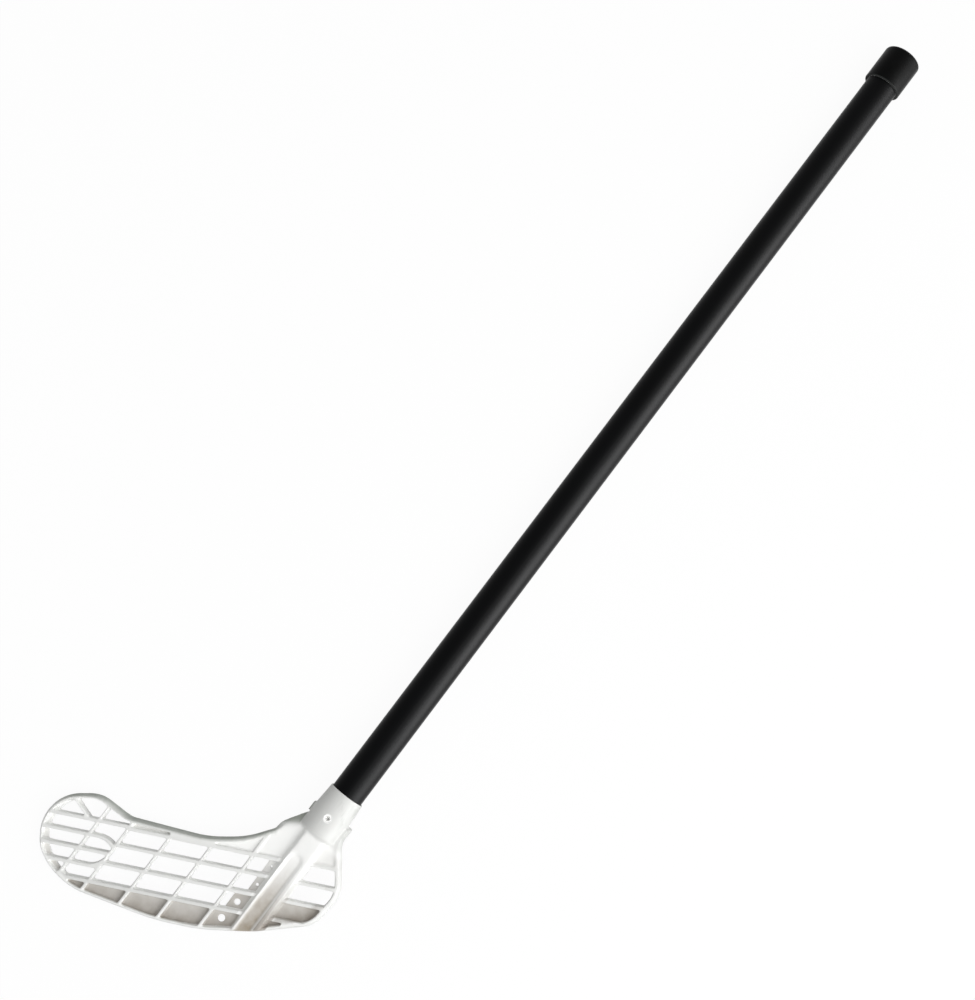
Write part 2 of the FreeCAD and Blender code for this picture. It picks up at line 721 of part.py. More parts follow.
toe_reach = lip_wire.BoundBox.YMax
half_depth = size("blade_half_depth")
toe_radius = math.hypot(toe_reach, half_depth)
roll = math.asin(size(SOCKET_RADIUS) / toe_radius) - math.atan2(half_depth, toe_reach)
rolled = FreeCAD.Placement(FreeCAD.Vector(), FreeCAD.Rotation(X_AXIS, -math.degrees(roll)))
pieces = {
    "blade": (blade, FreeCAD.Vector()),
    "shaft": (shaft, FreeCAD.Vector(-size("socket_depth"), 0, 0)),
    "end_cap": (end_cap, FreeCAD.Vector(size("shaft_length - socket_depth - cap_cover"), 0, 0)),
    "socket_screw": (screw, FreeCAD.Vector(-size("screw_setback"), 0, size(HEAD_TOP))),
}
box = FreeCAD.BoundBox()
for label, (piece, place) in pieces.items():
    piece.Label = label
    piece.Placement = rolled * FreeCAD.Placement(place, FreeCAD.Rotation())
    box.add(piece.Shape.optimalBoundingBox(False, False))
lift = FreeCAD.Vector(-box.Center.x, -box.Center.y, -box.ZMin)
for piece, place in pieces.values():
    piece.Placement = FreeCAD.Placement(lift, FreeCAD.Rotation()) * piece.Placement
doc.recompute()

failed = [item.Label for item in doc.Objects if {"Invalid", "Error"} & set(item.State)]
if failed:
    raise RuntimeError(f"objects that did not build: {failed}")
if not shaft.Shape.Volume < whole_tube or not screw.Shape.Volume < whole_screw:
    raise RuntimeError("the shaft's screw hole or the screw's cross recess cut nothing")
for label, (piece, place) in pieces.items():
    if piece.Shape.isNull() or not piece.Shape.isValid() or len(piece.Shape.Solids) != 1:
        raise RuntimeError(f"{label} is not one valid solid")

os.makedirs("parts", exist_ok=True)
for label, (piece, place) in pieces.items():
    piece.Shape.exportStep(f"parts/{label}.step")
    print(label, "volume", round(piece.Shape.Volume), "faces", len(piece.Shape.Faces))
print("roll", round(math.degrees(roll), 4), "lift", lift, "size", box.XLength, box.YLength, box.ZLength)
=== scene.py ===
"""Looks of a floorball stick: lattice blade, satin tube, rubber cap and cross-head screw.

Metres throughout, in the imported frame: +X runs up the shaft to the cap, the blade's toe lies
towards +Y and +Z points off the floor.
"""
import json
import math

import bmesh
import bpy
import numpy as np
from mathutils import Matrix, Vector


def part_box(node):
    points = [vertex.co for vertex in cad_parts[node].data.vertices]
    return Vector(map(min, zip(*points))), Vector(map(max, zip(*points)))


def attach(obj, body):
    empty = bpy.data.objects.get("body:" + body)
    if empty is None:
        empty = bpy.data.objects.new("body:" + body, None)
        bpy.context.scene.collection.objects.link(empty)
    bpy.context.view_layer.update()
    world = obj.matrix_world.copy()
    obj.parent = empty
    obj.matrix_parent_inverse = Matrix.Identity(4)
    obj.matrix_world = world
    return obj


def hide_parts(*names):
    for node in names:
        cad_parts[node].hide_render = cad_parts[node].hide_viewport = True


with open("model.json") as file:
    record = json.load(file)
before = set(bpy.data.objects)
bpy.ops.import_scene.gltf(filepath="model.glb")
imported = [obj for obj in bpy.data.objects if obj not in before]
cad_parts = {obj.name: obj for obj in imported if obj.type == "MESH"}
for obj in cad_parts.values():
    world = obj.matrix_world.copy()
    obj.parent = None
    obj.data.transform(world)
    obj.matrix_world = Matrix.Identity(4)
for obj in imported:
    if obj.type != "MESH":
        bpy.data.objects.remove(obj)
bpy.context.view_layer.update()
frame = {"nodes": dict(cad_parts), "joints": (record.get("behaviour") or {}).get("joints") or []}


def centre_of(box):
    return np.array([0.5 * (low + high) for low, high in zip(*box)])


MM = 0.001

# Points of a mesh that lie nearer than this are merged, in CAD nodes and at the poles of rings
MERGE_DISTANCE = 0.02 * MM
POLE_MERGE_DISTANCE = 0.001 * MM

# The photograph's camera
CAMERA_PLACE = Vector((-0.15706, -0.06139, 1.25982))
CAMERA_AIM = Vector((-0.03270, -0.01581, 0.0))
PICTURE_UP = Vector((0.79162, 0.60282, 0.09973))
SENSOR_HEIGHT = 36.0
FOCAL_LENGTH = 54.470

# Lamps: the main one stands past the picture's lower right corner. The long strip beside it shows
# in reflections alone, as the sheen along the tube.
KEY_BEARING = math.radians(-97.7)
KEY_ELEVATION = math.radians(48.0)
KEY_DISTANCE = 1.65
KEY_SIZE = 1.5
KEY_POWER = 23.0
STRIP_PLACE = Vector((0.12, -1.45, 0.66))
STRIP_LENGTH = 2.05
STRIP_HEIGHT = 1.3
STRIP_POWER = 300.0
AMBIENT = 0.50
FLOOR_SIZE = 8.0
FLOOR_SHADE_SHARE = 0.05

# Colours
WHITE = (1.0, 1.0, 1.0, 1.0)
FLOOR_SHADED = (0.9, 0.9, 0.9, 1.0)
FLOOR_BOUNCE = (0.6, 0.6, 0.6, 1.0)
PLASTIC = (0.925, 0.928, 0.912, 1.0)
PLASTIC_MOTTLE = (0.90, 0.903, 0.887, 1.0)
# Grey painted shade for the socket and the tops of the ribs
PLASTIC_GREY_SHADE = (0.67, 0.675, 0.657, 1.0)
# Greenish grey: painted shade at the top edge and beside the socket, real scuffs at the bottom
PLASTIC_SHADE_AND_SCUFFS = (0.358, 0.38, 0.342, 1.0)
# Tan painted shade for the blade's recesses and low cells
PLASTIC_TAN_SHADE = (0.335, 0.303, 0.264, 1.0)
# Brown painted shade for the sunk panel
PLASTIC_BROWN_SHADE = (0.30, 0.245, 0.177, 1.0)
TUBE = (0.0009, 0.0010, 0.0012, 1.0)
TUBE_CLOUD = (0.0014, 0.0016, 0.0019, 1.0)
RUBBER = (0.0006, 0.0007, 0.0007, 1.0)
RUBBER_DUSTY = (0.0014, 0.0016, 0.0016, 1.0)
# Painted highlight along the cap's rim
RUBBER_RIM_HIGHLIGHT = (0.027, 0.029, 0.028, 1.0)
STEEL = (0.76, 0.76, 0.75, 1.0)
STEEL_CLOUD = (0.66, 0.66, 0.65, 1.0)
# Dark grey painted shade for the middle of the screw's head
STEEL_HEAD_SHADE = (0.30, 0.30, 0.29, 1.0)

# The blade's own axes: its front, its toe's side of the shaft, and up from its bottom edge
SHAFT_LINE = centre_of(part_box("shaft"))
SHAFT_AXIS = np.array([1.0, 0.0, 0.0])
SCREW_JOINT = next(joint for joint in frame["joints"] if joint["name"] == "screw_out")
BLADE_FRONT = np.array(SCREW_JOINT["axis"])
BLADE_SIDE = np.cross(BLADE_FRONT, SHAFT_AXIS)
LIE_ANGLE = math.radians(53.0)
BLADE_UP = math.sin(LIE_ANGLE) * SHAFT_AXIS + math.cos(LIE_ANGLE) * BLADE_SIDE
BLADE_ALONG = math.sin(LIE_ANGLE) * BLADE_SIDE - math.cos(LIE_ANGLE) * SHAFT_AXIS
BLADE_HEIGHT = 108.2 * MM
BLADE_HALF_DEPTH = 6.0 * MM
TOP = 1.0
BOTTOM = -1.0

# The spine's crest falls from the socket's end to the bottom edge, and its panel is sunk into it
SOCKET_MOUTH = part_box("blade")[1].x
SOCKET_LENGTH = 38.6 * MM
SPINE_LENGTH = 112.0 * MM
SPINE_TOP_DEPTH = 11.0 * MM
SPINE_FOOT_DEPTH = 6.4 * MM
PANEL_OFFSET = 1.4 * MM
PANEL_HALF_WIDTH = 6.5 * MM
PANEL_DEPTH = 2.1 * MM
CREST_HALF_WIDTH = 8.5 * MM
SPINE_HALF_WIDTH = 12.5 * MM

# The lattice's rows cross the blade at a slope. Below the last open row all cells have floors, on
# the heel's side one row earlier.
ROW_SLOPE = 1.0 / math.tan(math.radians(64.2))
ROW_START = 65.9 * MM
ROW_PITCH = 17.7 * MM
MAIN_ROWS = 3
HEEL_ROWS = 2
RIM_WIDTH = 3.6 * MM

# Softening of the moulded blade. A band is where a smooth step starts and ends.
VOXEL = 0.5 * MM
SOFTENING_FACTOR = 0.5
SOFTENING_PASSES = 7
BLADE_TRIANGLES = 190000
SHOULDER_PASSES = 40
SHOULDER_START = (34.0 * MM, 39.0 * MM)
SHOULDER_END = (72.0 * MM, 54.0 * MM)
SHOULDER_SIDES = (30.0 * MM, 22.0 * MM)
TOP_EDGE_ROUND = 5.0 * MM
TOP_EDGE_LEAST = 0.45
TOP_EDGE_BAND = (0.24, 0.34)
LEAST_ROUND_SHARE = 0.001
ENVELOPE_STEP = 1.0 * MM

# Towards the toe, the width of the rim that the tan painted shade leaves clear and the reach of the
# painted shade along the top edge shrink: a band along the blade, and their shares before and after it
RIM_THINNING = (0.45, 0.7, 1.0, 0.65)
TOP_SHADE_REACH = 5.5 * MM
TOP_SHADE_THINNING = (0.72, 0.9, 1.0, 0.7)

# Painted shade on the blade, and scuffs along its bottom edge. A share is the greatest of its marks,
# and a mark is the product of its steps. A step is one of blade_places' measures, its band, and its
# values before and after the band where these aren't 0 and 1.
SHADE_AND_SCUFF_MARKS = {
    # Painted shade, tan: webbed floors, low cells darker to the bottom, heel side, crest's foot
    "tan_shade": {
        "floors of webbed cells": (
            ("rows_past_open", 0.1, 0.0),
            ("depth", 3.2 * MM, 1.6 * MM),
            ("flatness", 0.5, 0.9),
            ("down_spine", 0.25, 0.75),
            ("along_share", 0.5, 0.6, 0.8, 0.55),
            ("up_share", 0.95, 0.45),
        ),
        "low cells with their walls": (
            ("rows_past_open", 0.0, 0.1),
            ("depth", 5.0 * MM, 3.2 * MM),
            ("rims_up", 0.9, 1.2),
            ("above_bottom", 20.0 * MM, 3.0 * MM, 0.62, 0.94),
            ("to_heel", 0.0, 5.0 * MM, 1.0, 1.1),
            ("along_share", 0.15, 0.08, 1.0, 0.25),
            ("along_share", 0.65, 0.78, 1.0, 0.87),
            ("along_share", 0.965, 0.925),
            ("up_share", 0.95, 0.45),
        ),
        "heel side of the spine": (
            ("to_heel", 4.6 * MM, 5.8 * MM),
            ("to_heel", SPINE_HALF_WIDTH + 1.0 * MM, SPINE_HALF_WIDTH),
            ("depth", 1.0 * MM, 2.0 * MM),
            ("down_spine", 0.27, 0.8),
        ),
        "heel's web": (
            ("to_heel", CREST_HALF_WIDTH, CREST_HALF_WIDTH + 2.0 * MM, 0.0, 0.15),
            ("down_spine", 0.02, 0.08),
            ("rows_down", 0.1, -0.1),
        ),
        "heel's low corner": (
            ("to_heel", SPINE_HALF_WIDTH, SPINE_HALF_WIDTH + 3.0 * MM, 0.0, 0.5),
            ("above_bottom", RIM_WIDTH, 1.5 * RIM_WIDTH),
            ("above_bottom", 15.0 * MM, 11.0 * MM),
            ("along_share", 0.08, 0.14),
        ),
        "foot of the crest": (
            ("down_spine", 0.3, 0.9, 0.0, 0.25),
            ("off_spine", SPINE_HALF_WIDTH, CREST_HALF_WIDTH),
        ),
    },
    # Painted shade, brown: the sunk panel darkens towards the bottom edge and its heel side
    "brown_shade": {
        "panel": (
            ("below_crest", 0.15 * PANEL_DEPTH, PANEL_DEPTH),
            ("off_panel", PANEL_HALF_WIDTH, 0.85 * PANEL_HALF_WIDTH),
            ("to_heel", -PANEL_HALF_WIDTH, 0.5 * PANEL_HALF_WIDTH, 0.75, 1.0),
            ("down_spine", 0.15, 0.85),
        ),
    },
    # Painted shade, grey: the socket, darker on its toe's side, and the tops of the ribs
    "grey_shade": {
        "socket but for the screw's recess": (
            ("down_spine", 0.04, -0.02),
            ("from_screw", 3.2 * MM, 4.2 * MM),
            ("to_heel", -3.0 * MM, 12.0 * MM, 1.0, 0.75),
        ),
        "tops of the ribs": (
            ("depth", 4.8 * MM, 5.6 * MM),
            ("rows_down", -0.15, 0.0),
            ("off_last_row", 0.3, 0.1, 0.5, 0.75),
            ("above_bottom", RIM_WIDTH, 1.5 * RIM_WIDTH),
            ("below_top", RIM_WIDTH, 1.5 * RIM_WIDTH),
            ("off_spine", SPINE_HALF_WIDTH, SPINE_HALF_WIDTH + 1.0 * MM),
        ),
    },
    # Painted shade along the top edge and beside the socket; real scuffs at the bottom edge
    "shade_and_scuffs": {
        "top edge": (
            ("top_shade_down", 1.0, 0.1),
            ("along_share", 0.22, 0.28),
            ("along_share", 1.0, 0.9),
        ),
        "bottom edge": (
            ("above_bottom", RIM_WIDTH, 0.3 * RIM_WIDTH, 0.0, 0.25),
        ),
        "slope beside the socket": (
            ("up_share", 0.78, 0.815),
            ("along_share", 0.32, 0.26),
            ("off_socket", 16.7 * MM, 17.5 * MM),
        ),
    },
}

# Rubber cap
CAP_WALL = 2.45 * MM
CAP_END_WALL = 4.95 * MM
CAP_RIM_ROUND = 0.9 * MM
CAP_MOUTH_ROUND = 0.5 * MM
CAP_END_ROUND = 2.5 * MM
CAP_BASE_ROUND = 0.3 * MM
CAP_SIDES = 144
ARC_STEPS = 9
# The rim's painted highlight is gone past the first distance from the mouth and full within the second
RIM_HIGHLIGHT_BAND = (0.95 * CAP_RIM_ROUND, 0.2 * CAP_RIM_ROUND)

# Screw, measured down from the top of its head
SCREW_ALONG = centre_of(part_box("socket_screw"))[0]
SCREW_HEAD_RADIUS = 2.75 * MM
SCREW_HEAD_EDGE = 0.2 * MM
SCREW_HEAD_DEPTH = 1.5 * MM
SCREW_CORE_RADIUS = 1.05 * MM
SCREW_RIDGE = 0.38 * MM
SCREW_PITCH = 1.1 * MM
SCREW_TIP_LENGTH = 1.8 * MM
SCREW_SIDES = 96
SHANK_ROWS = 120
HEAD_ROWS = 30
CROSS_LENGTH = 3.0 * MM
CROSS_WIDTH = 0.8 * MM
CROSS_DEPTH = 0.9 * MM
CROSS_SLOPE = 0.16 * MM
# Depths below the head's top and distances off its axis where the head's painted shade is gone and full
HEAD_SHADE_DEPTHS = (1.3 * CROSS_DEPTH, 1.1 * CROSS_DEPTH)
HEAD_SHADE_RADII = (2.35 * MM, 1.75 * MM)


class Signal:
    """A shader socket that takes part in Python sums: each operator adds one Math node."""

    def __init__(self, finish, socket):
        self.finish = finish
        self.socket = socket

    def math(self, operation, other):
        return self.finish.node("Math", {"operation": operation}, {0: self, 1: other})

    def __add__(self, other):
        return self.math("ADD", other)

    def __mul__(self, other):
        return self.math("MULTIPLY", other)

    __radd__ = __add__
    __rmul__ = __mul__

    def greatest(self, other):
        return self.math("MAXIMUM", other)

    def ramp(self, low, high):
        """0 below low and 1 above high, with a smooth step between them."""
        settings = {"interpolation_type": "SMOOTHSTEP"}
        sockets = {"Value": self, "From Min": low, "From Max": high}
        return self.finish.node("MapRange", settings, sockets)


class Finish:
    """One node tree. Its last shader's sockets take constants, and signals where they vary."""

    def __init__(self, owner, shader, output):
        owner.use_nodes = True
        self.owner = owner
        self.tree = owner.node_tree
        self.tree.nodes.clear()
        self.shader = self.tree.nodes.new("ShaderNode" + shader)
        end = self.tree.nodes.new("ShaderNode" + output)
        self.tree.links.new(self.shader.outputs[0], end.inputs["Surface"])

    def set_socket(self, socket, value):
        if isinstance(value, Signal):
            self.tree.links.new(value.socket, socket)
        else:
            socket.default_value = value

    def feed(self, sockets):
        """Set or link the last shader's own sockets, by name or number."""
        for key, value in sockets.items():
            self.set_socket(self.shader.inputs[key], value)

    def node(self, kind, settings=None, sockets=None, output=0):
        """New node: its settings first, then its sockets' values or links."""
        made = self.tree.nodes.new("ShaderNode" + kind)
        for name, value in (settings or {}).items():
            setattr(made, name, value)
        for key, value in (sockets or {}).items():
            self.set_socket(made.inputs[key], value)
        return Signal(self, made.outputs[output])

    def point(self, scale=(1.0, 1.0, 1.0)):
        """Object coordinates, stretched."""
        place = self.node("TexCoord", output="Object")
        return self.node("Mapping", {}, {"Vector": place, "Scale": scale})

    def noise(self, point, scale, detail):
        return self.node("TexNoise", {}, {"Vector": point, "Scale": scale, "Detail": detail})

    def share(self, name):
        """A value from 0 to 1 that a piece's mesh carries at each of its points."""
        return self.node("Attribute", {"attribute_name": name}, output="Fac")

    def tint(self, mask, plain, changed):
        """Colour that goes from plain to changed with a mask."""
        sockets = {"Factor": mask, 6: plain, 7: changed}
        return self.node("Mix", {"data_type": "RGBA"}, sockets, output=2)

    def relief(self, height, distance):
        """Normal of a surface whose height varies by a distance."""
        return self.node("Bump", {}, {"Height": height, "Distance": distance})

    def seen_directly(self):
        """1 for rays that show the background: from the camera, in reflections and through glass."""
        rays = [self.node("LightPath", output=f"Is {kind} Ray")
                for kind in ("Camera", "Glossy", "Transmission")]
        return rays[0].greatest(rays[1]).greatest(rays[2])


def new_finish(name, shader="BsdfPrincipled"):
    return Finish(bpy.data.materials.new(name), shader, "OutputMaterial")


def white_plastic():
    """Moulded white plastic: faint mottling, spark-eroded grain, and painted shade and scuffs, partly
    in patches.
    """
    finish = new_finish("white_plastic")
    point = finish.point()
    mottle = finish.noise(point, scale=60.0, detail=3.0).ramp(0.35, 0.7)
    patches = finish.noise(point, scale=140.0, detail=4.0).ramp(0.25, 0.75)
    grain = finish.noise(point, scale=2600.0, detail=2.0)
    faintly_patchy = 0.85 + 0.15 * patches
    patchy = 0.7 + 0.3 * patches
    clean = finish.tint(mottle, PLASTIC, PLASTIC_MOTTLE)
    # Grey painted shade on the socket and the rib tops
    grey_shade = finish.tint(finish.share("grey_shade"), clean, PLASTIC_GREY_SHADE)
    # Painted shade along the top edge and beside the socket, with real scuffs at the bottom edge
    shade_and_scuffs = finish.tint(finish.share("shade_and_scuffs") * faintly_patchy, grey_shade, PLASTIC_SHADE_AND_SCUFFS)
    # Tan painted shade in recesses and low down on the blade
    tan_shaded = finish.tint(finish.share("tan_shade") * faintly_patchy, shade_and_scuffs, PLASTIC_TAN_SHADE)
    finish.feed({
        # Brown painted shade in the sunk panel
        "Base Color": finish.tint(finish.share("brown_shade") * patchy, tan_shaded, PLASTIC_BROWN_SHADE),
        "Roughness": 0.38 + 0.10 * mottle + 0.06 * grain,
        "Specular IOR Level": 0.04,
        "Normal": finish.relief(grain, distance=0.03 * MM),
    })
    return finish.owner


def satin_black():
    """Bluish black tube with a satin skin and fine grain drawn out along its length."""
    finish = new_finish("satin_black")
    drawn = finish.noise(finish.point(scale=(0.02, 1.0, 1.0)), scale=2200.0, detail=3.0)
    cloud = finish.noise(finish.point(scale=(0.25, 1.0, 1.0)), scale=45.0, detail=2.0).ramp(0.3, 0.75)
    finish.feed({
        "Base Color": finish.tint(cloud, TUBE, TUBE_CLOUD),
        "Roughness": 0.45 + 0.05 * cloud + 0.05 * drawn,
        "Specular IOR Level": 0.033,
        "Sheen Weight": 0.8,
        "Sheen Roughness": 0.3,
        "Normal": finish.relief(drawn, distance=0.02 * MM),
    })
    return finish.owner


def cap_rubber():
    """Matt black rubber with a fine pebble, a trace of dust and a painted highlight along its rim."""
    finish = new_finish("cap_rubber")
    point = finish.point()
    pebble = finish.noise(point, scale=1500.0, detail=2.0)
    dust = finish.noise(point, scale=120.0, detail=4.0).ramp(0.45, 0.8)
    plain = finish.tint(dust, RUBBER, RUBBER_DUSTY)
    finish.feed({
        "Base Color": finish.tint(finish.share("rim_highlight"), plain, RUBBER_RIM_HIGHLIGHT),
        "Roughness": 0.54 + 0.1 * dust,
        "Specular IOR Level": 0.028,
        "Sheen Weight": 0.8,
        "Sheen Roughness": 0.3,
        "Normal": finish.relief(pebble, distance=0.02 * MM),
    })
    return finish.owner


def screw_steel():
    """Zinc-plated steel with a slightly uneven polish, and painted shade and a rougher finish round the
    head's cross.
    """
    finish = new_finish("screw_steel")
    cloud = finish.noise(finish.point(), scale=900.0, detail=3.0).ramp(0.3, 0.7)
    head_shade = finish.share("head_shade")
    bright = finish.tint(cloud, STEEL, STEEL_CLOUD)
    finish.feed({
        "Base Color": finish.tint(head_shade, bright, STEEL_HEAD_SHADE),
        "Roughness": 0.34 + 0.12 * cloud + 0.14 * head_shade,
        "Metallic": 1.0,
    })
    return finish.owner


def pale_floor():
    """Floor that is white to the camera and in reflections, and grey to the light that it spreads.

    A small share of its shading stays in view, so that the object's shadow does too.
    """
    finish = new_finish("pale_floor", "MixShader")
    bounced = finish.node("BsdfDiffuse", {}, {"Color": FLOOR_BOUNCE})
    shaded = finish.node("BsdfDiffuse", {}, {"Color": FLOOR_SHADED})
    white = finish.node("Emission", {}, {"Color": WHITE, "Strength": 1.0})
    shown = finish.node("MixShader", {}, {0: FLOOR_SHADE_SHARE, 1: white, 2: shaded})
    finish.feed({0: finish.seen_directly(), 1: bounced, 2: shown})
    return finish.owner


def white_world():
    """World that is white to look at and dimmer in the light that it gives."""
    finish = Finish(bpy.data.worlds.new("studio"), "Background", "OutputWorld")
    finish.feed({
        "Color": WHITE,
        "Strength": AMBIENT + (1.0 - AMBIENT) * finish.seen_directly(),
    })
    return finish.owner


def smooth_step(values, start, end, before=0.0, after=1.0):
    """Before at start, after at end, with a smooth cubic between; start may lie above end."""
    share = np.clip((values - start) / (end - start), 0.0, 1.0)
    return before + (after - before) * share * share * (3.0 - 2.0 * share)


def ring_faces(rows, columns):
    """Quads of a grid of points whose columns close into a ring."""
    row, column = np.meshgrid(np.arange(rows - 1), np.arange(columns), indexing="ij")
    following = (column + 1) % columns
    quads = (row * columns + column, row * columns + following,
             (row + 1) * columns + following, (row + 1) * columns + column)
    return np.stack(quads, axis=-1).reshape(-1, 4)


def ring_mesh(name, rings):
    """Closed mesh of rings of points, an array of rows by columns by 3.

    The first and last rings lie at one point each, and their doubles are merged into poles.
    """
    rows, columns = rings.shape[:2]
    mesh = bpy.data.meshes.new(name)
    mesh.from_pydata(rings.reshape(-1, 3), [], ring_faces(rows, columns))
    edit = bmesh.new()
    edit.from_mesh(mesh)
    bmesh.ops.remove_doubles(edit, verts=edit.verts, dist=POLE_MERGE_DISTANCE)
    bmesh.ops.recalc_face_normals(edit, faces=edit.faces)
    edit.to_mesh(mesh)
    edit.free()
    return mesh


def points_of(mesh):
    points = np.empty(3 * len(mesh.vertices), dtype=np.float32)
    mesh.vertices.foreach_get("co", points)
    return points.reshape(-1, 3).astype(float)


def normals_of(mesh):
    normals = np.empty(3 * len(mesh.vertices), dtype=np.float32)
    mesh.vertex_normals.foreach_get("vector", normals)
    return normals.reshape(-1, 3).astype(float)


def carry_share(mesh, name, share):
    """Keep a value from 0 to 1 at each of a mesh's points, for its material."""
    layer = mesh.attributes.new(name, "FLOAT", "POINT")
    layer.data.foreach_set("value", share.astype(np.float32))


def dress(mesh, material):
    """Give a mesh one material and no other."""
    mesh.materials.clear()
    mesh.materials.append(material)


def new_piece(name, mesh, material, body, node):
    """Put a finished mesh in the scene as the piece that stands for a CAD node."""
    dress(mesh, material)
    mesh.shade_smooth()
    piece = bpy.data.objects.new(name, mesh)
    bpy.context.scene.collection.objects.link(piece)
    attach(piece, body)
    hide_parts(node)


def merged_copy(node):
    """Copy of a CAD node's loose triangles as one closed mesh."""
    mesh = frame["nodes"][node].data.copy()
    edit = bmesh.new()
    edit.from_mesh(mesh)
    bmesh.ops.remove_doubles(edit, verts=edit.verts, dist=MERGE_DISTANCE)
    edit.to_mesh(mesh)
    edit.free()
    return mesh


def with_modifier(mesh, kind, **settings):
    """The mesh that one modifier makes of a mesh."""
    holder = bpy.data.objects.new("holder", mesh)
    bpy.context.scene.collection.objects.link(holder)
    modifier = holder.modifiers.new(kind.lower(), kind)
    for name, value in settings.items():
        setattr(modifier, name, value)
    graph = bpy.context.evaluated_depsgraph_get()
    made = bpy.data.meshes.new_from_object(holder.evaluated_get(graph))
    bpy.data.objects.remove(holder)
    return made


def from_edge(points, side):
    """Each point's distance from the blade's top or bottom edge, and its share of the way to the toe.

    The edge is the farthest point up or down the blade in each step along it, and the height that
    is left to it is divided by the slope's length to give the distance.
    """
    along, out = points @ BLADE_ALONG, side * (points @ BLADE_UP)
    step = ((along - along.min()) / ENVELOPE_STEP).astype(int)
    edge = np.full(step.max() + 1, -np.inf)
    np.maximum.at(edge, step, out)
    places = along.min() + (np.arange(len(edge)) + 0.5) * ENVELOPE_STEP
    slope = np.interp(along, places, np.gradient(edge, ENVELOPE_STEP))
    distance = (np.interp(along, places, edge) - out) / np.hypot(1.0, slope)
    return distance, (along - along.min()) / np.ptp(along)


def blade_places(points, normals):
    """Where each point of the blade lies, in the measures that its painted shade and scuffs go by.

    Depth counts from the blade's middle plane, to_heel from the shaft's line, and flatness is 1
    where a point faces straight to the front or back. Down_spine is 0 at the socket's end and 1 at
    the bottom edge. Rows_down counts rows of the lattice from its first rib, and rows_past_open
    counts them from the last row of open windows. The distance down from the top edge counts in
    reaches of the top edge's painted shade, and rims_up counts up from the bottom edge in widths of
    the rim. Points at the back are endlessly far from the screw.
    """
    from_shaft = points - SHAFT_LINE
    front = from_shaft @ BLADE_FRONT
    depth = np.abs(front)
    to_heel = -(from_shaft @ BLADE_SIDE)
    below_mouth = SOCKET_MOUTH - points[:, 0]
    down_spine = (below_mouth - SOCKET_LENGTH) / SPINE_LENGTH
    crest = SPINE_TOP_DEPTH + (SPINE_FOOT_DEPTH - SPINE_TOP_DEPTH) * down_spine
    rows_down = (below_mouth - ROW_START + to_heel * ROW_SLOPE) / ROW_PITCH
    up = points @ BLADE_UP
    below_top, along_share = from_edge(points, TOP)
    above_bottom, _ = from_edge(points, BOTTOM)
    from_screw = np.hypot(points[:, 0] - SCREW_ALONG, to_heel)
    return {
        "depth": depth,
        "flatness": np.abs(normals @ BLADE_FRONT),
        "to_heel": to_heel,
        "off_spine": np.abs(to_heel),
        "off_panel": np.abs(to_heel + PANEL_OFFSET),
        "off_socket": np.linalg.norm(from_shaft[:, 1:], axis=1),
        "from_screw": np.where(front > 0.0, from_screw, np.inf),
        "down_spine": down_spine,
        "below_crest": crest - depth,
        "rows_down": rows_down,
        "rows_past_open": rows_down - np.where(to_heel > 0.0, HEEL_ROWS, MAIN_ROWS),
        "off_last_row": np.abs(rows_down - MAIN_ROWS),
        "up_share": (up - up.min()) / BLADE_HEIGHT,
        "along_share": along_share,
        "below_top": below_top,
        "top_shade_down": below_top / (TOP_SHADE_REACH * smooth_step(along_share, *TOP_SHADE_THINNING)),
        "above_bottom": above_bottom,
        "rims_up": above_bottom / (RIM_WIDTH * smooth_step(along_share, *RIM_THINNING)),
    }


def shade_and_scuff_shares(points, normals):
    """How much painted shade, and scuffing along the bottom edge, each point of the blade gets: a share
    from 0 to 1 for each name in the table of marks.
    """
    places = blade_places(points, normals)
    shares = {}
    for name, marks in SHADE_AND_SCUFF_MARKS.items():
        strengths = [
            np.prod([smooth_step(places[measure], *band) for measure, *band in steps], axis=0)
            for steps in marks.values()]
        shares[name] = np.minimum(np.maximum.reduce(strengths), 1.0)
    return shares


def relaxed(points, edges, shares, passes):
    """Points that move towards the mean of their neighbours, each by its own share, again and again.

    Each pass moves a point by the softening factor times its share of the way to the mean of the
    points that its edges lead to.
    """
    edges = edges[(shares[edges] > 0.0).any(axis=1)]
    starts = np.concatenate((edges[:, 0], edges[:, 1]))
    ends = np.concatenate((edges[:, 1], edges[:, 0]))
    count = len(points)
    degree = np.maximum(np.bincount(starts, minlength=count), 1)
    for _ in range(passes):
        sums = [np.bincount(starts, points[ends, axis], count) for axis in range(3)]
        means = np.stack(sums, axis=1) / degree[:, None]
        points = points + SOFTENING_FACTOR * shares[:, None] * (means - points)
    return points


def shoulder_share(points):
    """1 where the socket runs out into the spine and webs, 0 past that."""
    below_mouth = SOCKET_MOUTH - points[:, 0]
    across = np.abs((points - SHAFT_LINE) @ BLADE_SIDE)
    along = smooth_step(below_mouth, *SHOULDER_START) * smooth_step(below_mouth, *SHOULDER_END)
    return along * smooth_step(across, *SHOULDER_SIDES)


